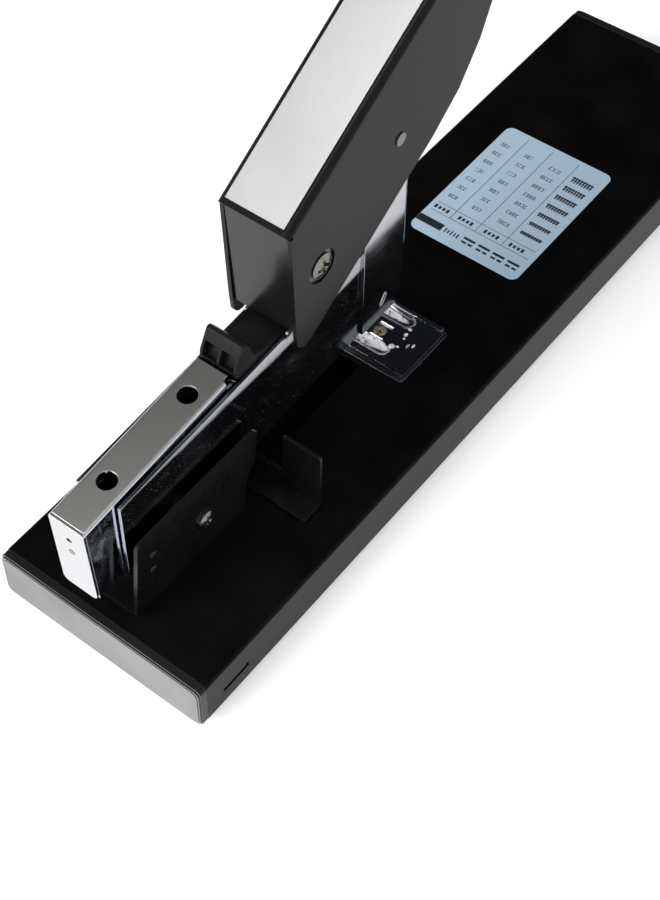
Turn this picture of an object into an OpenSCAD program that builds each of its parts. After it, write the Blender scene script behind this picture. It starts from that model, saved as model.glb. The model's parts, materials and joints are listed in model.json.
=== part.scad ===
// Long reach stapler: a pressed steel base with an anvil at mid length, a rear
// bracket that carries a long chrome arm, a rear-loading staple drawer, a head
// with a driver, and a folded steel lever with a grip.
// Working frame of the modules: x from the rear edge of the base towards the
// front, y across, z up from the top face of the base. The last step moves the
// whole object so that its box is centred and stands on z = 0.

/* [Base] */
// Length of the base tray
base_len = 440; // [400:5:520]
// Width of the base tray
base_w = 110; // [100:2:130]
// Height of the base tray's side
base_h = 26.3; // [24:0.1:32]
// Height of the rubber feet
foot_h = 3; // [2:0.5:5]
// Sheet thickness of the base
base_t = 1.5; // [1.2:0.1:2]

/* [Arm] */
// Sideways place of the arm's centre line on the base
arm_y = 5; // [0:0.5:5]
// Tilt of the arm at rest, front end up (degrees)
tilt = 4; // [3:0.5:4.5]
// Outer width of the arm channel
arm_w = 23; // [22.8:0.1:23.2]
// Sheet thickness of the arm channel
arm_t = 1.5; // [1.3:0.1:1.6]
// Height of the arm's side over its underside
arm_h = 48.4; // [46:0.2:49]

/* [Drawer] */
// Outer width of the staple drawer
drawer_w = 18.2; // [17.8:0.1:18.4]
// Diameter of the two holes in the drawer's top
drawer_hole_d = 8.8; // [6:0.2:9.4]

/* [Lever] */
// Length of the lever from its axle to the tip
lever_len = 278; // [250:2:300]
// Length of the rubber grip
grip_len = 112; // [90:2:120]

/* [Paper stop] */
// Height of the paper stop's ears
stop_h = 34; // [28:1:36]

/* [Hidden] */
$fn = 64;
e = 0.01;
foot_r = 5.5;
// arm axle, in the working frame
piv = [52.4, 0, 20.5];
// lever axle
hx = 129.9;
hz = 107.3;
lever_a = 32;
// crosshead pin, in lever coordinates
pin_s = 58.78 * cos(31.5 - lever_a);
pin_n = 58.78 * sin(31.5 - lever_a);
cap_t = 5;
// place of the anvil's screw along the base
anv_x = 191.4;
x_min = -7.6;
x_max = base_len + cap_t;
x_mid = (x_min + x_max) / 2;
z_top = base_h + foot_h;
arm_b = 1.8;              // underside of the arm over the axle line
arm_top = arm_b + arm_h;
br_in = 14.6;             // bracket: half the inside width
br_out = 16.6;            // bracket: half the outside width
lv_in = 15.6;
lv_out = 17.6;
lv_top = 39.06;
chrome = [0.82, 0.83, 0.85];
nickel = [0.62, 0.61, 0.59];
blackp = [0.06, 0.06, 0.065];
steel = [0.66, 0.67, 0.69];

// ---------- frames ----------
module object() { translate([-x_mid, 0, z_top]) children(); }
module mid() { object() translate([0, arm_y, 0]) children(); }
module arm() { mid() translate(piv) rotate([0, -tilt, 0]) children(); }
module lever() { mid() translate([hx, 0, hz]) rotate([0, -lever_a, 0]) children(); }

// a side outline in (x, z), made into a plate from y = y0 to y = y1
module plate_xz(y0, y1) {
  translate([0, y1, 0]) rotate([90, 0, 0]) linear_extrude(height = y1 - y0) children();
}
// an outline in (y, z), run along x from x0 to x1
module run_x(x0, x1) {
  translate([x0, 0, 0]) rotate([90, 0, 90]) linear_extrude(height = x1 - x0) children();
}
module rrect(x0, y0, x1, y1, r) {
  translate([x0 + r, y0]) square([x1 - x0 - 2 * r, y1 - y0]);
  translate([x0, y0 + r]) square([x1 - x0, y1 - y0 - 2 * r]);
  for (x = [x0 + r, x1 - r], y = [y0 + r, y1 - r]) translate([x, y]) circle(r = r);
}
module cyl_y(r, y0, y1) { translate([0, y1, 0]) rotate([90, 0, 0]) cylinder(r = r, h = y1 - y0); }
module cyl_x(r, x0, x1) { translate([x0, 0, 0]) rotate([0, 90, 0]) cylinder(r = r, h = x1 - x0); }
// cross recess cut, pointing down -z from the origin
module cross_cut(s, d) {
  for (a = [0, 90]) rotate([0, 0, a]) translate([-s / 2, -s * 0.11, -d]) cube([s, s * 0.22, d + 1]);
}
// round pan head with a cross recess, its seat on z = 0
module pan_head(r, h) {
  difference() {
    union() {
      cylinder(r = r, h = h * 0.45);
      intersection() {
        translate([0, 0, h * 0.45 - e]) cylinder(r = r, h = h);
        translate([0, 0, h - r * r / (1.1 * h) ]) sphere(r = r * r / (1.1 * h));
      }
    }
    translate([0, 0, h]) cross_cut(r * 1.25, h * 0.55);
    translate([0, 0, h * 0.55]) cylinder(r1 = r * 0.22, r2 = r * 0.52, h = h * 0.45 + 0.3);
  }
}
// a coil along z: mean radius r, wire radius w, height h between wire centres
function coil_pt(r, h, n, i, k) = let (a = 360 * n * i / k) [r * cos(a), r * sin(a), h * i / k];
module coil(r, w, h, n, seg = 14, m = 6) {
  k = ceil(n * seg);
  pts = [for (i = [0:k]) let (a = 360 * n * i / k, c = coil_pt(r, h, n, i, k))
         for (j = [0:m - 1]) let (b = 360 * j / m)
         [c[0] + w * cos(b) * cos(a), c[1] + w * cos(b) * sin(a), c[2] + w * sin(b)]];
  sides = [for (i = [0:k - 1], j = [0:m - 1]) [i * m + j, i * m + (j + 1) % m, (i + 1) * m + (j + 1) % m, (i + 1) * m + j]];
  polyhedron(points = pts, faces = concat([[for (j = [0:m - 1]) m - 1 - j]], sides, [[for (j = [0:m - 1]) k * m + j]]), convexity = 8);
}

// ---------- base ----------
module tray_profile() {
  difference() {
    rrect(-base_w / 2, -base_h, base_w / 2, 0, 2);
    rrect(-base_w / 2 + base_t, -base_h + base_t, base_w / 2 - base_t, -base_t, 0.6);
    translate([-base_w / 2 + 15, -base_h - 1]) square([base_w - 30, base_t + 2]);
  }
}
module base_tray() {
  color(blackp) object() difference() {
    run_x(0, base_len) tray_profile();
    // guide slot for the paper stop
    translate([77, arm_y - 8, -3]) cube([95, 16, 6]);
    // windows for the rear and front caps' clips
    for (x = [10, base_len - 26], s = [-1, 1])
      translate([x, s > 0 ? base_w / 2 - 3 : -base_w / 2 - 3, -17]) cube([16, 6, 3]);
    // screw holes for the anvil and rivet holes for the bracket
    translate([anv_x, 0.5, -5]) cylinder(r = 2, h = 10);
    for (x = [24, 57]) translate([x, arm_y, -5]) cylinder(r = 2.5, h = 10);
  }
}
module end_cap() {
  // outer block in three steps that round its outer edge, plug inside the tray at x = 0..14
  difference() {
    union() {
      run_x(-cap_t + 1.2, 0) rrect(-base_w / 2, -base_h, base_w / 2, 0, 2.6);
      run_x(-cap_t + 0.35, 0) rrect(-base_w / 2 + 0.45, -base_h + 0.45, base_w / 2 - 0.45, -0.4, 3.2);
      run_x(-cap_t, 0) rrect(-base_w / 2 + 1.2, -base_h + 1.2, base_w / 2 - 1.2, -1.1, 4);
      run_x(-e, 12) difference() {
        rrect(-base_w / 2 + base_t + 0.3, -base_h + base_t + 0.3, base_w / 2 - base_t - 0.3, -base_t - 0.3, 0.8);
        rrect(-base_w / 2 + base_t + 2.5, -base_h + base_t + 2.5, base_w / 2 - base_t - 2.5, -base_t - 2.5, 0.8);
      }
      // side arms and clips that show in the tray's windows
      for (s = [-1, 1]) {
        translate([11, s > 0 ? base_w / 2 - base_t - 2.5 : -base_w / 2 + base_t + 0.3, -18]) cube([15.5, 2.2, 5]);
        translate([11, s > 0 ? base_w / 2 - base_t - 0.9 : -base_w / 2 + 0.5, -16.6]) cube([14, 1.9, 2.2]);
      }
    }
  }
}
module rear_end_cap() { color([0.12, 0.12, 0.13]) object() end_cap(); }
module front_end_cap() { color([0.12, 0.12, 0.13]) object() translate([base_len, 0, 0]) mirror([1, 0, 0]) end_cap(); }
module rubber_feet() {
  color([0.05, 0.05, 0.05]) object()
    for (x = [26, base_len / 2, base_len - 26], s = [-1, 1]) translate([x, s * (base_w / 2 - 8.5), -z_top]) {
      cylinder(r = foot_r, h = 1.2);
      translate([0, 0, 1.2 - e]) cylinder(r = foot_r - 0.6, h = foot_h - 1.2 + e);
    }
}

// ---------- rear bracket and arm axle ----------
module cheek_outline() {
  polygon([[7.7, 0], [12.6, 42.0], [13.6, 43.8], [15.4, 44.4], [86.2, 44.4], [87.6, 43.4], [87.4, 40],
           [85.6, 25.4], [84.2, 22.6], [81.6, 21.2], [80.2, 19.4], [78, 0]]);
}
module rear_bracket() {
  color(blackp) mid() difference() {
    union() {
      for (s = [0, 1]) mirror([0, s, 0]) difference() {
        plate_xz(-br_out, -br_in) cheek_outline();
        // rounded pressed marks near the rear edge
        for (q = [[20.8, 31.4], [20.2, 22.2]]) translate([q[0], -br_out - 1.5, q[1]]) sphere(r = 2.5);
      }
      translate([7.7, -br_in - e, 0]) cube([70.3, 2 * br_in + 2 * e, 2]);
    }
    translate([piv[0], 0, piv[2]]) cyl_y(3.1, -20, 20);
    for (x = [24, 57]) translate([x, 0, -1]) cylinder(r = 2.5, h = 5);
  }
}
module bracket_rivets() {
  color(steel) mid() for (x = [24, 57]) translate([x, 0, 0]) {
    translate([0, 0, -base_t - 1.2]) cylinder(r = 4.4, h = 1.2);
    translate([0, 0, -base_t - 0.1]) cylinder(r = 2.46, h = base_t + 2.2);
    translate([0, 0, 2]) cylinder(r = 4.4, h = 1.3);
  }
}
module arm_axle_bolt() {
  color(steel) mid() translate(piv) {
    cyl_y(3, -br_out - e, br_out + 6.5);
    translate([0, -br_out, 0]) rotate([90, 0, 0]) pan_head(4.6, 2.4);
  }
}
module arm_axle_nut() {
  color(steel) mid() translate(piv) difference() {
    union() {
      translate([0, br_out + 1, 0]) rotate([-90, 0, 0]) cylinder(r = 5.8, h = 4.4, $fn = 6);
      cyl_y(6.4, br_out, br_out + 1 + e);
    }
    cyl_y(3, br_out - 1, br_out + 9);
  }
}
module arm_lift_spring() {
  color(steel) mid() translate([70, 0, 2.0]) {
    h = piv[2] + arm_b + (70 - piv[0]) * tan(tilt) - 2.0;
    translate([0, 0, 1.0]) coil(6.2, 0.8, h - 2.3, 6, 18);
    difference() { cylinder(r = 7.2, h = 0.6); translate([0, 0, -1]) cylinder(r = 5.2, h = 3); }
  }
}

// ---------- anvil, label, paper stop ----------
module anvil_base() {
  color(chrome) object() difference() {
    translate([0, 0, 0]) linear_extrude(height = 1.6) rrect(173.4, -24.6, 210.4, 34.6, 2);
    translate([anv_x, 0.5, -1]) cylinder(r = 2, h = 5);
  }
}
module anvil_plate() {
  color(chrome) object() difference() {
    union() {
      translate([0, 0, 1.6]) linear_extrude(height = 2.4) rrect(175.4, -24, 209.4, 34, 1.6);
      // raised lip along the front edge
      translate([207.6, -22.4, 3.9]) cube([1.8, 54.8, 0.9]);
    }
    // dished clinching grooves
    for (x = [183.2, 203]) translate([x, arm_y, 4 + 6.4]) {
      cyl_y(7.6, -11.5, 11.5);
      for (s = [-1, 1]) translate([0, s * 11.5, 0]) sphere(r = 7.6);
    }
    // staple forming pockets under the driver
    for (s = [-1, 1]) translate([181.8, arm_y + s * 3.6, 3 + 3.6]) rotate([0, 90, 0]) translate([0, 0, -1.3]) cylinder(r = 4.6, h = 2.6);
    for (x = [187, 195.6]) translate([x, 0, 4.3]) cyl_y(1, -3.7, 3.5);
    // screw seat
    translate([anv_x, 0.5, 0]) cylinder(r = 2, h = 6);
    translate([anv_x, 0.5, 3]) cylinder(r = 3.4, h = 6);
  }
}
module anvil_screw() {
  color([0.72, 0.66, 0.5]) object() translate([anv_x, 0.5, 0]) {
    translate([0, 0, -7]) cylinder(r = 2, h = 10 + e);
    translate([0, 0, 3]) pan_head(3.1, 1.5);
    translate([0, 0, -base_t - 3.2]) cylinder(r = 4, h = 3.2, $fn = 6);
  }
}
module size_label() {
  color([0.62, 0.7, 0.76]) object() linear_extrude(height = 0.25) rrect(257, -29.7, 345, 31.9, 4);
}
module stop_plate() {
  color(blackp) object() translate([0, 0, 0.3]) difference() {
    union() {
      run_x(97.4, 98.9) difference() {
        union() {
          translate([-37, 0]) square([74, 9]);
          for (y = [-37, 23]) {
            translate([y, 0]) square([y < 0 ? 20 : 14, stop_h - 1.5]);
            translate([y + 1.5, 0]) square([y < 0 ? 17 : 11, stop_h]);
            for (q = [y + 1.5, y + (y < 0 ? 18.5 : 12.5)]) translate([q, stop_h - 1.5]) circle(r = 1.5);
          }
        }
      }
      translate([86.8, -37, 0]) cube([12.1, 74, 1.5]);
    }
    for (y = [arm_y - 4.2, arm_y + 4.2]) translate([92, y, -1]) cylinder(r = 1.6, h = 4);
  }
}
module stop_clamp() {
  color(steel) object() difference() {
    union() {
      translate([86, arm_y - 7.4, -base_t - 0.2]) cube([12, 14.8, base_t + 0.5]);
      translate([84, arm_y - 12.5, -base_t - 2.4]) cube([16, 25, 2.1]);
      translate([86, arm_y - 7.4, -base_t - 1]) cube([12, 14.8, 2]);
    }
    for (y = [arm_y - 4.2, arm_y + 4.2]) translate([92, y, -6]) cylinder(r = 1.6, h = 12);
  }
}
module stop_screws() {
  color(steel) object() for (y = [arm_y - 4.2, arm_y + 4.2]) translate([92, y, 0]) {
    translate([0, 0, -base_t - 4]) cylinder(r = 1.6, h = base_t + 5.8 + e);
    translate([0, 0, 1.8]) pan_head(3.0, 1.6);
  }
}

// ---------- arm ----------
module arm_side_outline() {
  difference() {
    union() {
      polygon([[-40.6, 5.2], [-39.9, 3.2], [-38.2, arm_b], [140.6, arm_b], [140.6, 79],
               [100, 88], [93, 94.6], [81, 94.6], [76, 88], [70.6, 60], [68.4, arm_top + 1.2], [66.2, arm_top],
               [-37.6, arm_top]]);
      // lug around the arm axle
      translate([-13, -4]) square([26, 8]);
      circle(r = 9);
      translate([-9, -4]) square([18, 6]);
    }
    circle(r = 4.5);
  }
}
module arm_channel() {
  color(chrome) arm() difference() {
    union() {
      for (s = [0, 1]) mirror([0, s, 0]) plate_xz(-arm_w / 2, -arm_w / 2 + arm_t) arm_side_outline();
      translate([-38.2, -arm_w / 2 + arm_t - e, arm_b]) cube([156.6, arm_w - 2 * arm_t + 2 * e, arm_t]);
    }
    // the floor is relieved over the arm axle
    cyl_y(4.5, -20, 20);
    // lever axle, latch pin, rivets
    lever_in_arm() cyl_y(5, -20, 20);
    translate([90, 0, 47]) cyl_y(1.5, -20, 20);
    for (q = [[118, 62], [124, 74]]) translate([q[0], 0, q[1]]) cyl_y(1.5, -20, 20);
    for (u = [-20, 45, 100]) translate([u, 0, 0]) cylinder(r = 1.8, h = 6);
  }
}
// the lever axle seen from the arm frame
module lever_in_arm() {
  translate([(hx - piv[0]) * cos(tilt) + (hz - piv[2]) * sin(tilt), 0, -(hx - piv[0]) * sin(tilt) + (hz - piv[2]) * cos(tilt)]) children();
}
module arm_bushes() {
  color([0.75, 0.6, 0.35]) arm() for (s = [0, 1]) mirror([0, s, 0]) difference() {
    union() {
      cyl_y(4.5, -arm_w / 2 - e, -arm_w / 2 + arm_t - 0.05);
      cyl_y(6.8, -br_in + 0.15, -arm_w / 2);
    }
    cyl_y(3.06, -20, 20);
  }
}
module head_sleeve() {
  color(chrome) mid() difference() {
    union() {
      translate([0, 0, 30.5]) linear_extrude(height = 81.5) intersection() {
        rrect(160, -13, 195.6, 13, 2.4);
        translate([165.2, -20]) square([40, 40]);
      }
    }
    translate([0, 0, 20]) linear_extrude(height = 100) rrect(155, -arm_w / 2, 194.1, arm_w / 2, 0.9);
    // slanted slot low in each wall
    translate([180, 0, 41]) rotate([0, 31, 0]) {
      for (z = [-2.2, 2.2]) translate([0, 0, z]) cyl_y(1.6, -20, -12);
      for (z = [-2.2, 2.2]) translate([0, 0, z]) cyl_y(1.6, 12, 20);
      for (y = [-20, 12]) translate([-1.6, y, -2.2]) cube([3.2, 8, 4.4]);
    }
    sleeve_rivet_places() cyl_y(1.5, -20, 20);
  }
}
module sleeve_rivet_places() {
  for (q = [[118, 62], [124, 74]])
    translate([piv[0] + q[0] * cos(tilt) - q[1] * sin(tilt), 0, piv[2] + q[0] * sin(tilt) + q[1] * cos(tilt)]) children();
}
module sleeve_rivets() {
  color(steel) mid() sleeve_rivet_places() for (s = [0, 1]) mirror([0, s, 0]) {
    cyl_y(1.46, -13.05, -9.9);
    cyl_y(2.6, -10, -9.4);
  }
}
module staple_rail() {
  color(steel) arm() difference() {
    translate([-28, -5.8, arm_b + arm_t]) cube([152.6, 11.6, 11.4]);
    translate([-30, -4.6, arm_b + arm_t + 1.2]) cube([170, 9.2, 9]);
    for (u = [-20, 45, 100]) translate([u, 0, 0]) cylinder(r = 1.8, h = 6);
  }
}
module rail_rivets() {
  color(steel) arm() for (u = [-20, 45, 100]) translate([u, 0, arm_b]) {
    translate([0, 0, -0.8]) cylinder(r = 3.2, h = 0.8);
    translate([0, 0, -0.1]) cylinder(r = 1.77, h = arm_t + 1.4);
    translate([0, 0, arm_t + 1.2]) cylinder(r = 3.2, h = 1);
  }
}
module nose_guide() {
  color(steel) mid() difference() {
    union() {
      translate([183.1, -9, 24]) cube([2.4, 18, 50]);
      for (s = [-1, 1]) translate([176, s > 0 ? 6.4 : -9, 24]) cube([8, 2.6, 50]);
      for (s = [-1, 1]) translate([178, s > 0 ? 8.4 : -10, 40]) cube([7.5, 1.6, 30]);
    }
    translate([172, -6.4, 20]) cube([11.1, 12.8, 80]);
  }
}
module lever_axle() {
  color(steel) mid() translate([hx, 0, hz]) difference() {
    union() {
      cyl_y(5, -arm_w / 2 - e, arm_w / 2 + e);
      for (s = [0, 1]) mirror([0, s, 0]) cyl_y(7.94, -lv_out + 1.1, -arm_w / 2);
    }
    for (s = [0, 1]) mirror([0, s, 0]) cyl_y(2.5, -30, -8);
  }
}
module lever_axle_screws() {
  color(steel) mid() translate([hx, 0, hz]) for (s = [0, 1]) mirror([0, s, 0]) {
    cyl_y(2.5, -lv_out + 1, -8);
    translate([0, -lv_out + 1.1, 0]) rotate([90, 0, 0]) pan_head(5.9, 2.5);
  }
}
module lever_spring() {
  color(steel) mid() translate([hx, 0, hz]) {
    translate([0, 8.2, 0]) rotate([90, 0, 0]) coil(6.9, 0.8, 16.4, 8, 20);
    translate([6.9, 8.2, 0]) rotate([0, 168, 0]) cylinder(r = 0.8, h = 17, $fn = 16);
    translate([6.9, -8.2, 0]) rotate([0, 100, 0]) cylinder(r = 0.8, h = 16, $fn = 16);
  }
}
module latch_pin() { color(steel) arm() translate([90, 0, 47]) { cyl_y(1.5, -arm_w / 2 - 0.6, arm_w / 2 + 0.6); } }
module latch_spring() {
  color(steel) arm() translate([72, 0, 40.6]) coil(2.4, 0.4, 9.1, 5, 14);
}
module latch_bridge() {
  color(steel) arm() {
    translate([66, -10, 39.4]) cube([12, 20, 0.8]);
    translate([72, 0, 40.2 - e]) cylinder(r = 1.6, h = 3);
    for (s = [-1, 1]) translate([66, s > 0 ? 9.2 : -10, 40.2 - e]) cube([12, 0.8, 4]);
  }
}

// ---------- lever ----------
module lever_outline(top) {
  polygon([[-0.4, top], [-25.6, -8.8], [-31.4, -19.9], [-31.6, -22], [-30.8, -24.4], [-28.8, -26.2], [-26, -27],
           [70, -26.6], [92, -24], [112, -16], [130, -4], [148, 6], [166, 11.5], [184, 13.4],
           [lever_len - 5, 14.6], [lever_len - 1.5, 16.2], [lever_len, 19.5], [lever_len, top - 3], [lever_len - 1, top]]);
}
module lever_frame() {
  color([0.17, 0.17, 0.18]) lever() difference() {
    union() {
      for (s = [0, 1]) mirror([0, s, 0]) plate_xz(-lv_out, -lv_in) lever_outline(lv_top - 3);
      intersection() {
        run_x(-1, lever_len - 1) difference() {
          union() {
            translate([-lv_out + 3, lv_top - 3]) square([2 * lv_out - 6, 3]);
            translate([-lv_out, lv_top - 3.4]) square([2 * lv_out, 0.4 + e]);
            for (s = [-1, 1]) translate([s * (lv_out - 3), lv_top - 3]) circle(r = 3);
          }
          translate([-lv_in, lv_top - 12]) square([2 * lv_in, 10]);
        }
        plate_xz(-30, 30) polygon([[2, 50], [-8, 24], [300, 24], [300, 50]]);
      }
    }
    cyl_y(8, -30, 30);
    translate([pin_s, 0, pin_n]) cyl_y(3, -30, 30);
    // small reliefs at the two rear corners of the bend
    for (s = [-1, 1]) translate([0.2, s * (lv_out - 0.9), lv_top - 3.1]) sphere(r = 1.25);
  }
}
module lever_back_plate() {
  color([0.17, 0.17, 0.18]) lever() plate_xz(-lv_in, lv_in)
    polygon([[0.4, lv_top - 2], [-27.9, -15.4], [-26.7, -16.1], [2.0, lv_top - 2]]);
}
module lever_top_cover() {
  color([0.85, 0.85, 0.84]) lever() difference() {
    translate([1.6, -14.3, lv_top]) cube([lever_len - grip_len - 2, 28.6, 0.7]);
    for (y = [-10, 10]) translate([lever_len - grip_len - 12, y, 30]) cylinder(r = 1.6, h = 20);
  }
}
module grip_profile(g) {
  rrect(-lv_out - g, 10.8 - g, lv_out + g, lv_top + g, 6.5);
}
module lever_grip() {
  color([0.07, 0.07, 0.075]) lever() difference() {
    union() {
      run_x(lever_len - grip_len, lever_len + 3) grip_profile(2.6);
      for (i = [0:7]) run_x(lever_len - grip_len + 14 + 11 * i, lever_len - grip_len + 18 + 11 * i) grip_profile(3.2);
      run_x(lever_len + 3 - e, lever_len + 4.2) grip_profile(1.4);
    }
    // the frame's plates and web sit in this slot
    run_x(lever_len - grip_len - 1, lever_len + e) difference() {
      rrect(-lv_out - 0.02, 10.9, lv_out + 0.02, lv_top + 0.02, 1);
      translate([-lv_in + 0.02, 8]) square([2 * lv_in - 0.04, lv_top - 10.02]);
    }
    // hollow core
    run_x(lever_len - grip_len - 1, lever_len - 4) rrect(-lv_in + 3, 14, lv_in - 3, lv_top - 5, 3);
  }
}
module crosshead_pin() {
  color(steel) lever() translate([pin_s, 0, pin_n]) {
    cyl_y(3, -lv_out - 0.6, lv_out + 0.6);
  }
}

// ---------- driver ----------
px = hx + 58.78 * cos(31.5);
pz = hz + 58.78 * sin(31.5);
module driver_block() {
  color(steel) mid() difference() {
    union() {
      translate([169, -7.5, 96.5]) cube([24.6, 15, pz + 8 - 96.5]);
    }
    // crosshead slot
    translate([px - 3.6, -20, pz - 3.55]) cube([16, 40, 7.1]);
    translate([px - 3.6 + 0, 0, pz]) cyl_y(3.55, -20, 20);
    // blade seat
    translate([181.4, -6.2, 90]) cube([1.0, 12.4, 22]);
    for (x = [174, 189]) translate([x, 0, 90]) cylinder(r = 2.6, h = 16);
    translate([182, 0, 104]) cyl_x(2, -3, 3);
  }
}
module driver_blade() {
  color(chrome) mid() difference() {
    translate([181.4, -6.2, 45.6]) cube([1.0, 12.4, 66.4]);
    translate([182, 0, 104]) cyl_x(2, -20, 10);
  }
}

// ---------- drawer ----------
module drawer_outline() {
  // the roof rises a little towards the front
  polygon([[-56.9, 5.2], [-55.4, 52.1], [33.4, 55.2], [33.4, 38], [95, 38], [95, 5.2]]);
}
dw = drawer_w / 2;
dt = 1.2;
// the folded section of the drawer: roof on n = 0, open underneath
module drawer_section() {
  difference() {
    union() {
      translate([-dw + 1.3, -2.5]) square([2 * dw - 2.6, 2.5]);
      translate([-dw, -60]) square([2 * dw, 58.7]);
      for (s = [-1, 1]) translate([s * (dw - 1.3), -1.3]) circle(r = 1.3);
    }
    translate([-dw + dt, -62]) square([2 * (dw - dt), 62 - dt]);
  }
}
module drawer_cover() {
  // the roof rises 2 degrees more than the arm
  color(nickel) arm() difference() {
    intersection() {
      translate([-55.4, 0, 52.1]) rotate([0, -2, 0]) run_x(-8, 160) drawer_section();
      plate_xz(-20, 20) polygon([[-55.92, 5.2], [-54.34, 60], [33.4, 60], [33.4, 38], [36, 36], [95, 36], [95, 5.2]]);
    }
    for (u = [-31.6, 17.1]) translate([u, 0, 44]) cylinder(d = drawer_hole_d, h = 20);
    // small notch at the front right corner of the roof
    translate([30.2, -dw - 1, 51]) cube([10, 2.9, 10]);
  }
}
module drawer_end_plate() {
  color(nickel) arm() difference() {
    intersection() {
      plate_xz(-dw, dw) polygon([[-57.3, 5.2], [-55.95, 52.0], [-54.6, 52.0], [-55.95, 5.2]]);
      run_x(-60, -50) {
        translate([-dw, 5.2]) square([2 * dw, 45.6]);
        translate([-dw + 1.3, 50.5]) square([2 * dw - 2.6, 1.55]);
        for (s = [-1, 1]) translate([s * (dw - 1.3), 50.75]) circle(r = 1.3);
      }
      rear_round();
    }
    translate([0, 0, 41.2]) cyl_x(1.4, -70, -40);
    translate([0, 0, 33]) cyl_x(1.5, -70, -40);
  }
}
module rear_round() {
  run_x(-60, -50) { translate([-dw, 8.2]) square([2 * dw, 50]); translate([-dw + 3, 5.2]) square([2 * dw - 6, 50]); for (s = [-1, 1]) translate([s * (dw - 3), 8.2]) circle(r = 3); }
}
module pusher_rod() {
  color(steel) arm() translate([0, 0, 33]) {
    cyl_x(2, -54.6, 118);
    cyl_x(1.5, -56.6, -54);
  }
}
module rod_clips() {
  color(steel) arm() translate([0, 0, 33]) for (q = [[-54.2, 3.4], [116.4, 3.2]])
    difference() { cyl_x(q[1], q[0], q[0] + 0.8); cyl_x(2, q[0] - 1, q[0] + 2); }
}
module pusher_spring() {
  color(steel) arm() translate([-52.6, 0, 33]) rotate([0, 90, 0]) coil(3.0, 0.45, 163.4, 30, 12, 5);
}
module pusher_block() {
  color([0.75, 0.75, 0.77]) arm() difference() {
    union() {
      translate([91.8, -7.2, 15.4]) cube([23, 14.4, 23]);
      for (s = [-1, 1]) translate([95, s > 0 ? 6.2 : -7.2, 6]) cube([19.8, 1.0, 10]);
    }
    translate([0, 0, 33]) cyl_x(2.06, 90, 140);
    translate([0, 0, 33]) cyl_x(4.2, 90, 111.4);
  }
}

// ---------- latch ----------
module latch_lever() {
  color([0.05, 0.05, 0.055]) arm() difference() {
    union() {
      plate_xz(-9.5, 9.5) polygon([[36.2, 51.4], [38.2, 50.6], [96, 43.2], [97.6, 47], [96, 50.8], [70, 52.4], [52, 53.2],
                                  [48.6, 54.4], [47.0, 57], [45.6, 63.6], [43.6, 66.2], [41.8, 66.0], [36.4, 57.2], [35.6, 54]]);
    }
    // two finger pockets in the rear face, with a rib between them
    for (s = [-1, 1]) translate([33, s > 0 ? 0.7 : -7.9, 57.6]) rotate([0, 31, 0]) translate([0, 0, -1.2]) cube([7.4, 7.2, 7.2]);
    // hollow underside
    translate([58, -7.5, 30]) cube([24, 15, 20.4]);
    translate([90, 0, 47]) cyl_y(1.56, -20, 20);
  }
}

base_tray();
rear_end_cap();
front_end_cap();
rubber_feet();
rear_bracket();
bracket_rivets();
arm_axle_bolt();
arm_axle_nut();
arm_lift_spring();
anvil_plate();
anvil_base();
anvil_screw();
size_label();
stop_plate();
stop_clamp();
stop_screws();
arm_channel();
arm_bushes();
head_sleeve();
sleeve_rivets();
staple_rail();
rail_rivets();
nose_guide();
lever_axle();
lever_axle_screws();
lever_spring();
latch_pin();
latch_spring();
latch_bridge();
lever_frame();
lever_back_plate();
lever_top_cover();
lever_grip();
crosshead_pin();
driver_block();
driver_blade();
drawer_cover();
drawer_end_plate();
pusher_rod();
rod_clips();
pusher_spring();
pusher_block();
latch_lever();
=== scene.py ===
import bpy, bmesh, math, json, random
from mathutils import Vector, Matrix


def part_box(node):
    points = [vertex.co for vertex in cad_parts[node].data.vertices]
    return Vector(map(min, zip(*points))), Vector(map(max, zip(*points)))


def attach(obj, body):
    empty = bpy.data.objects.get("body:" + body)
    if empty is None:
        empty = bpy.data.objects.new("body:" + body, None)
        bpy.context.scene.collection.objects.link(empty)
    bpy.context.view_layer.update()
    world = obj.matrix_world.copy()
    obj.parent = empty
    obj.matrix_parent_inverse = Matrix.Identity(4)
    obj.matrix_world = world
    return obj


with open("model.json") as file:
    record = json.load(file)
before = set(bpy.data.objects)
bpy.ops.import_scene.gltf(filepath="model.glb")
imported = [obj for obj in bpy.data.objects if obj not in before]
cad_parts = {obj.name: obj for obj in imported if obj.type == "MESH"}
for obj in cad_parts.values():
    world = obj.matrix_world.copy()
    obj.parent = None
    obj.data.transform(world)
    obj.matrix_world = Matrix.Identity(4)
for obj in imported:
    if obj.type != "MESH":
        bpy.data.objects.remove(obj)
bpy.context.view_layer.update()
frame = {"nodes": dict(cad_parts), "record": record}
scene = bpy.context.scene
N = frame["nodes"]

tray_lo, tray_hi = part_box("base_tray")
X0 = tray_lo.x            # rear edge of the base
ZT = tray_hi.z            # top face of the base
YC = 0.5 * (tray_lo.y + tray_hi.y)
AY = 0.5 * (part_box("arm_channel")[0].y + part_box("arm_channel")[1].y)
MM = 0.001


def P(x, y, z):
    """Millimetres from the base's rear edge, its middle and its top face, to the row frame."""
    return Vector((X0 + x * MM, YC + y * MM, ZT + z * MM))


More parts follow.
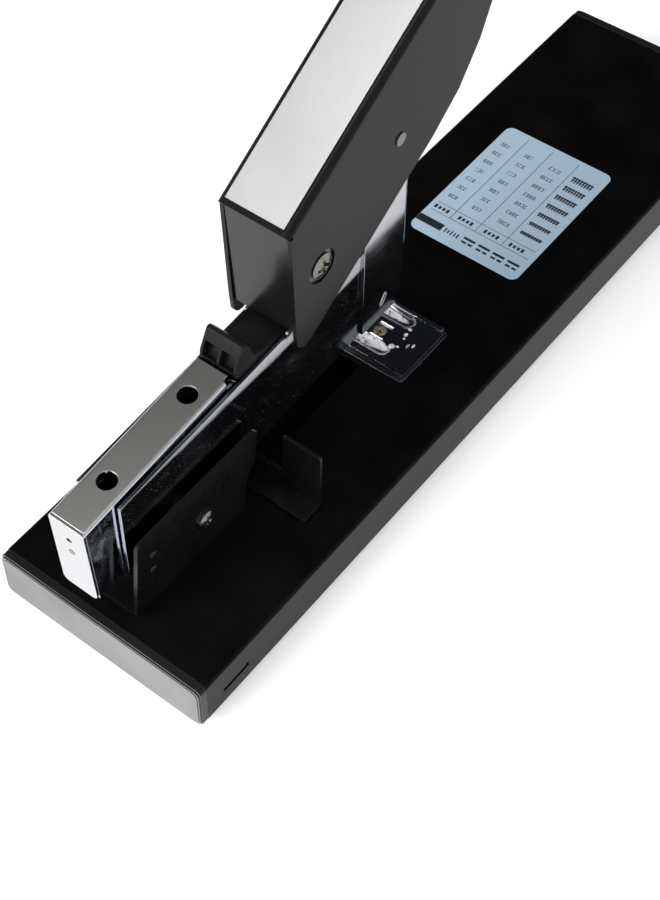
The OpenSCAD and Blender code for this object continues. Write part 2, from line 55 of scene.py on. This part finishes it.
# ------------------------------------------------------------------ camera
cam_data = bpy.data.cameras.new("Camera")
cam = bpy.data.objects.new("Camera", cam_data)
scene.collection.objects.link(cam)
scene.camera = cam
right = Vector((0.62752, -0.77822, -0.02451))
down = Vector((-0.62564, -0.48525, -0.61082))
fwd = right.cross(down).normalized()
right = right.normalized()
down = fwd.cross(right).normalized()
rot = Matrix((right, -down, -fwd)).transposed().to_4x4()
cam.matrix_world = Matrix.Translation(P(-251.01, -302.02, 618.68)) @ rot
cam_data.sensor_fit = "VERTICAL"
cam_data.sensor_height = 36.0
cam_data.sensor_width = 26.4
cam_data.lens = 1766.0 * 36.0 / 900.0
cam_data.shift_x = (330 - 255.57) / 900.0
cam_data.shift_y = (434.73 - 450) / 900.0
cam_data.clip_start = 0.01
cam_data.clip_end = 50
cam_data.dof.use_dof = False

# ------------------------------------------------------------------ colour handling
scene.view_settings.view_transform = "Standard"
scene.view_settings.look = "None"
scene.view_settings.exposure = 0.0
scene.view_settings.gamma = 1.0


# ------------------------------------------------------------------ material helpers
class M:
    """A node material with a principled shader and small helpers to build detail."""

    def __init__(self, name):
        self.mat = bpy.data.materials.new(name)
        self.mat.use_nodes = True
        self.nt = self.mat.node_tree
        self.nt.nodes.clear()
        self.out = self.nt.nodes.new("ShaderNodeOutputMaterial")
        self.bsdf = self.nt.nodes.new("ShaderNodeBsdfPrincipled")
        self.nt.links.new(self.bsdf.outputs[0], self.out.inputs[0])
        self.tc = self.nt.nodes.new("ShaderNodeTexCoord")

    def set(self, **kw):
        for k, v in kw.items():
            k = k.replace("_", " ")
            self.bsdf.inputs[k].default_value = v if not isinstance(v, tuple) or len(v) != 3 else (*v, 1.0)
        return self

    def node(self, kind, **kw):
        n = self.nt.nodes.new(kind)
        for k, v in kw.items():
            if k.startswith("in_"):
                n.inputs[k[3:].replace("_", " ")].default_value = v
            else:
                setattr(n, k, v)
        return n

    def link(self, a, b):
        self.nt.links.new(a, b)
        return a

    def coords(self, scale=(1, 1, 1), rot=(0, 0, 0)):
        m = self.node("ShaderNodeMapping")
        m.inputs["Scale"].default_value = scale
        m.inputs["Rotation"].default_value = rot
        self.link(self.tc.outputs["Object"], m.inputs["Vector"])
        return m.outputs["Vector"]

    def noise(self, scale, detail=2.0, rough=0.5, stretch=(1, 1, 1), rot=(0, 0, 0), distortion=0.0):
        n = self.node("ShaderNodeTexNoise")
        n.inputs["Scale"].default_value = scale
        n.inputs["Detail"].default_value = detail
        n.inputs["Roughness"].default_value = rough
        n.inputs["Distortion"].default_value = distortion
        self.link(self.coords(stretch, rot), n.inputs["Vector"])
        return n.outputs["Fac"]

    def voronoi(self, scale, feature="F1", stretch=(1, 1, 1)):
        n = self.node("ShaderNodeTexVoronoi")
        n.feature = feature
        n.inputs["Scale"].default_value = scale
        self.link(self.coords(stretch), n.inputs["Vector"])
        return n.outputs["Distance"]

    def remap(self, value, a, b, lo, hi, clamp=True):
        n = self.node("ShaderNodeMapRange")
        n.clamp = clamp
        n.inputs["From Min"].default_value = a
        n.inputs["From Max"].default_value = b
        n.inputs["To Min"].default_value = lo
        n.inputs["To Max"].default_value = hi
        self.link(value, n.inputs["Value"])
        return n.outputs["Result"]

    def math(self, op, a, b=None):
        n = self.node("ShaderNodeMath", operation=op)
        for i, v in enumerate((a, b)):
            if v is None:
                continue
            if isinstance(v, (int, float)):
                n.inputs[i].default_value = v
            else:
                self.link(v, n.inputs[i])
        return n.outputs[0]

    def mix(self, fac, a, b):
        n = self.node("ShaderNodeMix", data_type="RGBA")
        if isinstance(fac, (int, float)):
            n.inputs["Factor"].default_value = fac
        else:
            self.link(fac, n.inputs["Factor"])
        for sock, v in ((n.inputs[6], a), (n.inputs[7], b)):
            if isinstance(v, tuple):
                sock.default_value = (*v, 1.0)
            else:
                self.link(v, sock)
        return n.outputs[2]

    def color(self, sock):
        self.link(sock, self.bsdf.inputs["Base Color"])
        return self

    def rough(self, sock):
        self.link(sock, self.bsdf.inputs["Roughness"])
        return self

    def bump(self, parts):
        """parts: list of (height socket, distance in metres, strength)"""
        last = None
        for h, dist, strength in parts:
            b = self.node("ShaderNodeBump")
            b.inputs["Distance"].default_value = dist
            b.inputs["Strength"].default_value = strength
            self.link(h, b.inputs["Height"])
            if last is not None:
                self.link(last, b.inputs["Normal"])
            last = b.outputs["Normal"]
        self.link(last, self.bsdf.inputs["Normal"])
        return self


def enamel(name, col, rough, peel=0.5, spec=0.5, dust=0.5):
    m = M(name).set(Base_Color=col, Metallic=0.0, Specular_IOR_Level=spec)
    peel_n = m.noise(900, 2, 0.5)
    big = m.noise(38, 3, 0.55)
    speck = m.noise(2600, 1, 0.5)
    scr = m.noise(160, 3, 0.6, stretch=(1, 9, 1), rot=(0, 0, 0.5))
    light = tuple(min(1, c * 1.9 + 0.004) for c in col)
    m.color(m.mix(m.math("MULTIPLY", m.remap(speck, 0.66, 0.78, 0, 1), 0.35 * dust), m.mix(m.remap(big, 0.35, 0.75, 0, 0.35), col, light), (0.10, 0.10, 0.10)))
    r = m.math("ADD", m.remap(big, 0.3, 0.7, rough - 0.015, rough + 0.02), m.remap(scr, 0.6, 0.75, 0, 0.03))
    m.rough(r)
    m.bump([(peel_n, 0.00004 * peel, 0.35), (speck, 0.00001, 0.25)])
    return m.mat


def chrome(name, col=(0.56, 0.57, 0.60), rough=0.055, brush=(1, 1, 1), smudge=0.5, wave=0.5):
    m = M(name).set(Base_Color=col, Metallic=1.0)
    cloud = m.noise(46, 4, 0.6)
    fine = m.noise(420, 3, 0.65)
    hair = m.noise(700, 2, 0.6, stretch=brush)
    m.color(m.mix(m.remap(cloud, 0.38, 0.66, 0, 1), tuple(c * 0.93 for c in col), col))
    r = m.math("ADD", m.remap(cloud, 0.35, 0.7, rough, rough + 0.07 * smudge), m.remap(hair, 0.52, 0.75, 0.0, 0.05))
    m.rough(r)
    m.bump([(m.noise(16, 2, 0.5), 0.0005 * wave, 0.16), (fine, 0.000006, 0.18), (hair, 0.000006, 0.22)])
    return m.mat


def arm_chrome(name):
    """The arm's own chrome: its walls roll inward over the last millimetres below their top edge, and that rolled
    band is also painted darker as painted shade.
    """
    m = M(name).set(Base_Color=(0.78, 0.80, 0.86), Metallic=1.0)
    cloud = m.noise(46, 4, 0.6)
    smear = m.noise(120, 3, 0.65, stretch=(0.5, 1, 1.2), distortion=0.5)
    speck = m.noise(1500, 2, 0.5)
    r = m.math("ADD", m.remap(cloud, 0.38, 0.68, 0.045, 0.11), m.remap(smear, 0.52, 0.72, 0.0, 0.10))
    r = m.math("ADD", r, m.remap(speck, 0.70, 0.76, 0.0, 0.25))
    sp = m.node("ShaderNodeSeparateXYZ")
    m.link(m.tc.outputs["Object"], sp.inputs[0])
    t = math.radians(4)
    dx = m.math("SUBTRACT", sp.outputs[0], X0 + 52.4 * MM)
    dz = m.math("SUBTRACT", sp.outputs[2], ZT + 20.5 * MM)
    w = m.math("ADD", m.math("MULTIPLY", dx, -math.sin(t)), m.math("MULTIPLY", dz, math.cos(t)))
    u = m.math("ADD", m.math("MULTIPLY", dx, math.cos(t)), m.math("MULTIPLY", dz, math.sin(t)))
    band = m.remap(u, -0.030, 0.060, 0.0008, 0.0085)
    over = m.math("MAXIMUM", m.math("SUBTRACT", w, m.math("SUBTRACT", 0.0502, band)), 0.0)
    h = m.math("DIVIDE", m.math("MULTIPLY", over, over), m.math("MULTIPLY", band, 2.0))
    h = m.math("MULTIPLY", h, m.remap(u, -0.010, 0.055, -0.09, -0.20))
    low = m.math("LESS_THAN", w, 0.0515)
    h = m.math("MULTIPLY", h, low)
    roll = m.math("MULTIPLY", m.remap(m.math("DIVIDE", over, band), 0.0, 0.5, 0.0, 1.0), low)
    wall = m.mix(m.remap(cloud, 0.38, 0.66, 0, 1), (0.50, 0.515, 0.56), (0.57, 0.585, 0.625))
    # rolled band painted a darker grey: painted shade on the wall's top
    m.color(m.mix(roll, wall, (0.36, 0.37, 0.385)))
    m.rough(m.math("ADD", r, m.math("MULTIPLY", roll, 0.16)))
    m.bump([(h, 1.0, 1.0), (m.noise(16, 2, 0.5), 0.0004, 0.14), (smear, 0.000010, 0.2)])
    return m.mat


def anvil_chrome(name):
    """Bright plate; near-white patches over the clinching pockets and a few small spots are painted highlights
    (painted glare), made rougher, less metallic and slightly raised there; the plate's side faces are painted dark
    as painted shade.
    """
    m = M(name).set(Base_Color=(0.76, 0.77, 0.80), Metallic=1.0)
    sp = m.node("ShaderNodeSeparateXYZ")
    m.link(m.tc.outputs["Object"], sp.inputs[0])
    x = m.math("SUBTRACT", sp.outputs[0], X0)
    y = m.math("SUBTRACT", sp.outputs[1], YC)

    def blob(cx, cy, rx, ry, soft):
        a = m.math("POWER", m.math("ABSOLUTE", m.math("DIVIDE", m.math("SUBTRACT", x, cx * MM), rx * MM)), 2.0)
        b = m.math("POWER", m.math("ABSOLUTE", m.math("DIVIDE", m.math("SUBTRACT", y, cy * MM), ry * MM)), 2.0)
        return m.remap(m.math("ADD", a, b), 1.0 - soft, 1.0, 1.0, 0.0)

    # painted highlights: near-white patches laid where the pockets and small spots catch glare
    painted_glare_mask = None
    for cx, cy, rx, ry, soft in ((184.4, 2.0, 3.0, 12.5, 0.35), (203.6, 4.0, 2.2, 12.0, 0.5), (186.8, -9.4, 1.5, 1.6, 0.3),
                                 (188.1, -11.7, 0.7, 0.9, 0.3), (196.3, -10.6, 1.3, 1.0, 0.3), (200.0, -10.2, 0.9, 1.3, 0.3),
                                 (191.2, -15.3, 1.5, 0.7, 0.3), (192.7, -17.3, 1.4, 0.6, 0.3), (193.9, -11.3, 0.7, 0.7, 0.3),
                                 (186.9, 0.0, 0.9, 3.8, 0.2), (195.6, 0.0, 0.9, 3.8, 0.2)):
        b = blob(cx, cy, rx, ry, soft)
        painted_glare_mask = b if painted_glare_mask is None else m.math("MAXIMUM", painted_glare_mask, b)
    flake = m.noise(380, 3, 0.6, distortion=0.8)
    painted_glare_mask = m.math("MULTIPLY", painted_glare_mask, m.remap(flake, 0.36, 0.50, 0.35, 1.0))
    cloud = m.noise(60, 4, 0.6)
    plate = m.mix(m.remap(cloud, 0.35, 0.68, 0, 1), (0.58, 0.60, 0.64), (0.66, 0.68, 0.72))
    geo = m.node("ShaderNodeNewGeometry")
    nz = m.node("ShaderNodeSeparateXYZ")
    m.link(geo.outputs["Normal"], nz.inputs[0])
    # side faces of the plate painted dark grey: painted shade on its edges
    edge = m.remap(m.math("ABSOLUTE", nz.outputs[2]), 0.30, 0.72, 1.0, 0.0)
    m.color(m.mix(edge, m.mix(painted_glare_mask, plate, (0.97, 0.97, 0.97)), (0.13, 0.135, 0.145)))
    n = m.node("ShaderNodeMix", data_type="FLOAT")
    m.link(painted_glare_mask, n.inputs["Factor"])
    m.link(m.remap(cloud, 0.35, 0.7, 0.05, 0.13), n.inputs[2])
    n.inputs[3].default_value = 0.52
    m.rough(n.outputs[0])
    m.link(m.remap(painted_glare_mask, 0.0, 1.0, 1.0, 0.35), m.bsdf.inputs["Metallic"])
    m.bump([(m.noise(18, 2, 0.5), 0.0004, 0.12), (m.math("MULTIPLY", painted_glare_mask, flake), 0.00012, 0.5)])
    return m.mat


def satin(name, col, rough, stretch, metallic=1.0, grain=1.0, aniso=0.0):
    m = M(name).set(Base_Color=col, Metallic=metallic, Anisotropic=aniso)
    line = m.noise(520, 3, 0.7, stretch=stretch)
    cloud = m.noise(30, 3, 0.5)
    m.color(m.mix(m.remap(line, 0.3, 0.75, 0, 1), tuple(c * 0.9 for c in col), tuple(min(1, c * 1.06) for c in col)))
    m.rough(m.math("ADD", m.remap(line, 0.3, 0.7, rough - 0.05 * grain, rough + 0.06 * grain), m.remap(cloud, 0.35, 0.65, -0.02, 0.03)))
    m.bump([(line, 0.000012 * grain, 0.35)])
    return m.mat


def paper(name, col):
    m = M(name).set(Base_Color=col, Roughness=0.38, Specular_IOR_Level=0.35)
    fib = m.noise(900, 3, 0.6, stretch=(1, 3, 1))
    m.color(m.mix(m.remap(fib, 0.3, 0.7, 0, 1), tuple(c * 0.97 for c in col), tuple(c * 1.03 for c in col)))
    m.rough(m.remap(fib, 0.3, 0.7, 0.34, 0.42))
    m.bump([(fib, 0.000008, 0.3)])
    return m.mat


def cap_plastic(name):
    """Satin moulded plastic with a fine spark-eroded grain; near-black, with its end face painted grey as a painted
    sheen of the bright light behind.
    """
    m = M(name).set(Specular_IOR_Level=0.18)
    geo = m.node("ShaderNodeNewGeometry")
    sp = m.node("ShaderNodeSeparateXYZ")
    m.link(geo.outputs["Normal"], sp.inputs[0])
    # end face (normal along x) painted grey: painted sheen, the other faces stay near-black
    end = m.remap(m.math("ABSOLUTE", sp.outputs[0]), 0.75, 0.95, 0.0, 1.0)
    tex = m.voronoi(1900)
    cloud = m.noise(26, 3, 0.5)
    rub = m.noise(90, 3, 0.6, stretch=(1, 0.3, 2))
    m.color(m.mix(end, (0.010, 0.010, 0.011), m.mix(m.remap(cloud, 0.38, 0.64, 0, 1), (0.122, 0.122, 0.125), (0.170, 0.170, 0.174))))
    m.rough(m.math("ADD", m.remap(cloud, 0.35, 0.65, 0.30, 0.38), m.remap(rub, 0.5, 0.7, 0.0, 0.05)))
    m.bump([(tex, 0.000025, 0.4), (m.noise(3400, 2, 0.6), 0.00001, 0.3)])
    return m.mat


def plastic(name, col, rough, grain=0.6, scale=1500, spec=0.5):
    m = M(name).set(Base_Color=col, Specular_IOR_Level=spec)
    tex = m.voronoi(scale)
    cloud = m.noise(60, 3, 0.5)
    m.color(m.mix(m.remap(cloud, 0.35, 0.65, 0, 1), col, tuple(min(1, c * 1.35 + 0.003) for c in col)))
    m.rough(m.remap(cloud, 0.3, 0.7, rough - 0.04, rough + 0.06))
    m.bump([(tex, 0.00003 * grain, 0.4), (m.noise(3200, 2, 0.6), 0.00001, 0.3 * grain)])
    return m.mat


MAT = {
    "base_enamel": enamel("base_enamel", (0.0022, 0.0022, 0.0024), 0.24, peel=0.6, spec=0.07, dust=0.25),
    "bracket_enamel": enamel("bracket_enamel", (0.0030, 0.0030, 0.0034), 0.27, peel=0.8, spec=0.26, dust=0.4),
    "lever_enamel": enamel("lever_enamel", (0.0040, 0.0040, 0.0043), 0.25, peel=0.7, spec=0.11, dust=0.2),
    "cap_plastic": cap_plastic("cap_plastic"),
    "foot_rubber": plastic("foot_rubber", (0.018, 0.018, 0.018), 0.75, 1.0, 2200, 0.3),
    "zinc_steel": satin("zinc_steel", (0.205, 0.196, 0.176), 0.24, (1, 1, 6)),
    "chrome_plate": chrome("chrome_plate", brush=(0.12, 4, 4)),
    "anvil_chrome": chrome("anvil_chrome", (0.57, 0.58, 0.60), 0.09, brush=(0.2, 3, 3), smudge=0.9),
    "satin_nickel": satin("satin_nickel", (0.66, 0.65, 0.62), 0.25, (0.06, 5, 5), grain=0.28),
    "label_print": paper("label_print", (0.36, 0.47, 0.565)),
    "bronze": satin("bronze", (0.66, 0.46, 0.22), 0.34, (1, 1, 1)),
    "brass_screw": satin("brass_screw", (0.60, 0.52, 0.34), 0.30, (1, 1, 1)),
    "spring_steel": satin("spring_steel", (0.42, 0.42, 0.43), 0.30, (1, 1, 1)),
    "brushed_cover": satin("brushed_cover", (0.54, 0.54, 0.535), 0.34, (0.05, 6, 6), grain=1.0),
    "grip_rubber": plastic("grip_rubber", (0.0075, 0.0075, 0.008), 0.56, 1.2, 1300, 0.22),
    "latch_plastic": plastic("latch_plastic", (0.0065, 0.0065, 0.007), 0.27, 0.35, 2000, 0.06),
}
# the drawer: satin on its top, brighter polish with cloudy smudges on its walls
m = M("drawer_nickel").set(Base_Color=(0.66, 0.65, 0.62), Metallic=1.0)
geo = m.node("ShaderNodeNewGeometry")
sp = m.node("ShaderNodeSeparateXYZ")
m.link(geo.outputs["Normal"], sp.inputs[0])
top = m.remap(sp.outputs[2], 0.55, 0.9, 0.0, 1.0)
line = m.noise(520, 3, 0.7, stretch=(0.06, 5, 5))
cloud = m.noise(44, 4, 0.62)
smear = m.noise(95, 3, 0.6, stretch=(1, 1, 0.5), distortion=0.6)
side_r = m.math("ADD", m.remap(cloud, 0.40, 0.62, 0.05, 0.24), m.remap(smear, 0.48, 0.68, 0.0, 0.16))
top_r = m.remap(line, 0.3, 0.7, 0.30, 0.335)
n = m.node("ShaderNodeMix", data_type="FLOAT")
m.link(top, n.inputs["Factor"])
m.link(side_r, n.inputs[2])
m.link(top_r, n.inputs[3])
m.rough(n.outputs[0])
# rear face (normal towards -x) painted a darker grey: painted shade
rear_face_painted_shade = m.remap(sp.outputs[0], -0.9, -0.6, 1.0, 0.0)
m.color(m.mix(rear_face_painted_shade, m.mix(top, (0.50, 0.53, 0.60), (0.64, 0.63, 0.595)), (0.52, 0.525, 0.535)))
m.bump([(m.noise(14, 2, 0.5), 0.0004, 0.10), (line, 0.000004, 0.2), (smear, 0.000008, 0.2)])
DRAWER = m.mat

# pieces whose finish differs a little from the rest of their slot
SPECIAL = {
    "drawer_cover": DRAWER,
    "drawer_end_plate": DRAWER,
    "lever_back_plate": enamel("lever_back_enamel", (0.0042, 0.0042, 0.0045), 0.20, peel=0.6, spec=0.36, dust=0.2),
    "latch_bridge": plastic("bridge_black", (0.006, 0.0062, 0.007), 0.34, 0.35, 2000, 0.5),
    "arm_channel": arm_chrome("arm_chrome"),
    "anvil_plate": anvil_chrome("anvil_plate_chrome"),
    "anvil_base": satin("anvil_base_steel", (0.20, 0.205, 0.22), 0.24, (1, 6, 1), grain=0.6),
    "lever_axle": satin("axle_oxide", (0.10, 0.095, 0.09), 0.34, (1, 1, 6)),
}

node_slot = {s["node"]: s["material_slot"] for s in frame["record"]["subparts"]}
for name, ob in N.items():
    ob.data.materials.clear()
    ob.data.materials.append(SPECIAL.get(name, MAT[node_slot[name]]))

# ------------------------------------------------------------------ edge breaks on the CAD pieces
def smooth_group():
    """Faces smooth, edges sharper than 24 degrees kept sharp."""
    g = bpy.data.node_groups.new("smooth_by_angle", "GeometryNodeTree")
    g.interface.new_socket("Geometry", in_out="INPUT", socket_type="NodeSocketGeometry")
    g.interface.new_socket("Geometry", in_out="OUTPUT", socket_type="NodeSocketGeometry")
    a = g.nodes.new("NodeGroupInput")
    z = g.nodes.new("NodeGroupOutput")
    f = g.nodes.new("GeometryNodeSetShadeSmooth")
    f.domain = "FACE"
    e = g.nodes.new("GeometryNodeSetShadeSmooth")
    e.domain = "EDGE"
    ang = g.nodes.new("GeometryNodeInputMeshEdgeAngle")
    c = g.nodes.new("ShaderNodeMath")
    c.operation = "LESS_THAN"
    c.inputs[1].default_value = math.radians(24)
    g.links.new(a.outputs[0], f.inputs["Geometry"])
    g.links.new(f.outputs[0], e.inputs["Geometry"])
    g.links.new(ang.outputs["Unsigned Angle"], c.inputs[0])
    g.links.new(c.outputs[0], e.inputs["Shade Smooth"])
    g.links.new(e.outputs[0], z.inputs[0])
    return g


SMOOTH = smooth_group()
BEVEL = {
    "base_tray": 0.55, "rear_end_cap": 0.4, "front_end_cap": 0.4, "rear_bracket": 0.45, "stop_plate": 0.35,
    "arm_channel": 0.65, "head_sleeve": 0.18, "anvil_plate": 0.16, "anvil_base": 0.16, "drawer_cover": 0.25,
    "drawer_end_plate": 0.2, "latch_lever": 0.4, "lever_frame": 0.45, "lever_back_plate": 0.3,
    "lever_top_cover": 0.2, "lever_axle_screws": 0.2, "arm_axle_bolt": 0.2, "arm_axle_nut": 0.3,
    "anvil_screw": 0.15, "lever_grip": 0.5, "nose_guide": 0.25, "stop_clamp": 0.3, "latch_bridge": 0.25,
    "stop_screws": 0.15, "staple_rail": 0.2, "driver_block": 0.3, "pusher_block": 0.3,
}
for name, ob in N.items():
    cn = ob.data.attributes.get("custom_normal")
    if cn is not None:
        ob.data.attributes.remove(cn)
    wd = ob.modifiers.new("weld", "WELD")
    wd.merge_threshold = 0.000002
    if name in BEVEL:
        dc = ob.modifiers.new("planes", "DECIMATE")
        dc.decimate_type = "DISSOLVE"
        dc.angle_limit = math.radians(0.4)
    sm = ob.modifiers.new("smooth", "NODES")
    sm.node_group = SMOOTH
    if name in BEVEL:
        bv = ob.modifiers.new("edge", "BEVEL")
        bv.width = BEVEL[name] * MM
        bv.segments = 3
        bv.limit_method = "ANGLE"
        bv.angle_limit = math.radians(30)
        bv.use_clamp_overlap = True
        bv.harden_normals = False
    wn = ob.modifiers.new("flat_faces", "WEIGHTED_NORMAL")
    wn.mode = "FACE_AREA"
    wn.weight = 90
    wn.keep_sharp = True


# ------------------------------------------------------------------ label print
def new_mesh(name, bm, body, mat):
    me = bpy.data.meshes.new(name)
    bm.normal_update()
    bm.to_mesh(me)
    bm.free()
    ob = bpy.data.objects.new(name, me)
    scene.collection.objects.link(ob)
    me.materials.append(mat)
    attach(ob, body)
    return ob


def slab(bm, cx, cy, sx, sy, z0, z1, ang=0.0, taper=0.0):
    """A thin raised bar; its top is pulled in a little so that its edges slope like printed ink."""
    c, sn = math.cos(ang), math.sin(ang)
    vs = []
    for z, t in ((z0, 0.0), (z1, taper)):
        for dx, dy in ((-1, -1), (1, -1), (1, 1), (-1, 1)):
            x, y = dx * (sx / 2 - t), dy * (sy / 2 - t)
            vs.append(bm.verts.new(P(cx + x * c - y * sn, cy + x * sn + y * c, z)))
    for f in ((3, 2, 1, 0), (4, 5, 6, 7), (0, 1, 5, 4), (1, 2, 6, 5), (2, 3, 7, 6), (3, 0, 4, 7)):
        bm.faces.new([vs[k] for k in f])


lab_lo, lab_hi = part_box("size_label")
LZ = (lab_hi.z - ZT) / MM
LX0, LX1 = (lab_lo.x - X0) / MM, (lab_hi.x - X0) / MM
LY0, LY1 = (lab_lo.y - YC) / MM, (lab_hi.y - YC) / MM
rng = random.Random(7)
bm = bmesh.new()
Z0, Z1 = LZ - 0.03, LZ + 0.05


def bar(cx, cy, sx, sy, ang=0.0):
    slab(bm, cx, cy, sx, sy, Z0, Z1, ang, 0.03)


# heading: four bold generic bars, a row of small marks and one long block
for k in range(4):
    y = 2.2 - 8.4 * k
    bar(266.4, y, 1.5, 6.6)
    bar(263.6, y + 1.6, 1.3, 2.6)
    bar(263.6, y - 1.9, 1.3, 2.4)
bar(265.2, 24.6, 4.6, 14.5)
for k in range(5):
    bar(265.0, 15.4 - 1.75 * k, 2.4 if k % 2 else 3.2, 0.75)
# ruled lines
for x in (272.8, 279.0):
    bar(x, (LY0 + LY1) / 2, 0.28, LY1 - LY0 - 5)
for y in (-11.5, 3.8, 18.3):
    bar((272.8 + LX1 - 3) / 2, y, LX1 - 3 - 272.8, 0.28)
# column headings
for y in (-18.5, -4.0, 11.0, 25.0):
    for k in range(4):
        bar(275.9, y + 3.6 - 2.3 * k, 2.0 if k % 3 else 2.6, 1.4)
# rows: one pictured staple strip and three columns of small marks
rows = [286.0 + 7.6 * k for k in range(int((LX1 - 8 - 286.0) / 7.6) + 1)]
for r, x in enumerate(rows):
    leg = 2.0 + 0.28 * r
    y0, y1 = -25.6, -14.0
    n = 8
    for k in range(n):
        y = y0 + (y1 - y0) * (k + 0.5) / n
        bar(x + 0.15, y, leg + 0.5, 0.72)
    bar(x + leg / 2 - 0.4, (y0 + y1) / 2, 0.8, y1 - y0 + 0.6)
    bar(x - 0.3, (y0 + y1) / 2, 0.5, y1 - y0)
    for yc in (-3.8, 11.0, 25.0):
        cnt = 4 if yc < 0 else 3
        for k in range(cnt):
            h = rng.choice((1.9, 2.2, 2.2))
            yy = yc + 2.4 - 1.75 * k
            bar(x - 0.95, yy, 0.42, 1.1)
            bar(x + 0.95, yy, 0.42, 1.1)
            if rng.random() < 0.6:
                bar(x, yy + 0.42, h, 0.36)
            if rng.random() < 0.6:
                bar(x, yy - 0.42, h, 0.36)
ink = plastic("label_ink", (0.012, 0.014, 0.020), 0.45, 0.3, 2600)
new_mesh("label_marks", bm, "root", ink)

# ------------------------------------------------------------------ floor and light
def card(name, size, loc, rot, power, color=(1, 1, 1)):
    d = bpy.data.lights.new(name, "AREA")
    d.shape = "RECTANGLE"
    d.size, d.size_y = size
    d.energy = power
    d.color = color
    o = bpy.data.objects.new(name, d)
    scene.collection.objects.link(o)
    o.location = loc
    o.rotation_euler = rot
    return o


def aim(o, target):
    d = Vector(target) - o.location
    o.rotation_euler = d.to_track_quat("-Z", "Y").to_euler()
    return o


me = bpy.data.meshes.new("floor")
bm = bmesh.new()
bmesh.ops.create_grid(bm, x_segments=1, y_segments=1, size=45.0)
bm.to_mesh(me)
bm.free()
floor = bpy.data.objects.new("floor", me)
scene.collection.objects.link(floor)
fm = M("floor_paper").set(Base_Color=(0.90, 0.90, 0.90), Roughness=0.9, Specular_IOR_Level=0.1)
# the sweep glows a little, as a lit acrylic table does; under the base the glow is cut and the floor colour is
# painted near-black, a painted shadow
sep = fm.node("ShaderNodeSeparateXYZ")
fm.link(fm.tc.outputs["Object"], sep.inputs[0])
mx = (tray_lo.x + tray_hi.x) / 2
my = (tray_lo.y + tray_hi.y) / 2
ex = fm.math("SUBTRACT", fm.math("ABSOLUTE", fm.math("SUBTRACT", sep.outputs[0], mx)), (tray_hi.x - tray_lo.x) / 2)
ey = fm.math("SUBTRACT", fm.math("ABSOLUTE", fm.math("SUBTRACT", sep.outputs[1], my)), (tray_hi.y - tray_lo.y) / 2)
edge = fm.math("MAXIMUM", ex, ey)
glow_outside_painted_shadow = fm.remap(edge, -0.014, -0.003, 0.0, 1.0)
em = fm.mix(glow_outside_painted_shadow, (0.0, 0.0, 0.0), (1.0, 1.0, 1.0))
fm.link(em, fm.bsdf.inputs["Emission Color"])
# floor colour painted near-black under the base: painted shadow
fm.color(fm.mix(glow_outside_painted_shadow, (0.015, 0.015, 0.015), (0.90, 0.90, 0.90)))
fm.bsdf.inputs["Emission Strength"].default_value = 0.28
me.materials.append(fm.mat)

world = bpy.data.worlds.new("studio")
scene.world = world
world.use_nodes = True
wn = world.node_tree
wn.nodes.clear()
wo = wn.nodes.new("ShaderNodeOutputWorld")
bg = wn.nodes.new("ShaderNodeBackground")
wn.links.new(bg.outputs[0], wo.inputs[0])
tc = wn.nodes.new("ShaderNodeTexCoord")
dot = wn.nodes.new("ShaderNodeVectorMath")
dot.operation = "DOT_PRODUCT"
dot.inputs[1].default_value = Vector((0.50, 0.36, 0.78)).normalized()
wn.links.new(tc.outputs["Generated"], dot.inputs[0])
mr = wn.nodes.new("ShaderNodeMapRange")
mr.interpolation_type = "SMOOTHSTEP"
mr.inputs["From Min"].default_value = 0.50
mr.inputs["From Max"].default_value = 0.90
mr.inputs["To Min"].default_value = 1.0
mr.inputs["To Max"].default_value = 0.0
wn.links.new(dot.outputs["Value"], mr.inputs["Value"])
mixw = wn.nodes.new("ShaderNodeMix")
mixw.data_type = "RGBA"
mixw.inputs[6].default_value = (0.014, 0.015, 0.019, 1)
mixw.inputs[7].default_value = (0.95, 0.96, 1.0, 1)
wn.links.new(mr.outputs["Result"], mixw.inputs["Factor"])
wn.links.new(mixw.outputs[2], bg.inputs["Color"])
bg.inputs["Strength"].default_value = 0.72

aim(card("soft_rear", (1.6, 0.9), (-1.55, 0.75, 0.62), (0, 0, 0), 46, (1, 0.99, 0.98)), (-0.1, 0.0, 0.05))
right = card("soft_right", (1.3, 0.8), (0.1, -1.7, 0.9), (0, 0, 0), 14)
right.visible_glossy = False
aim(right, (0, 0, 0.05))
aim(card("soft_top", (1.0, 1.0), (-0.5, 0.2, 1.9), (0, 0, 0), 10), (0, 0, 0))
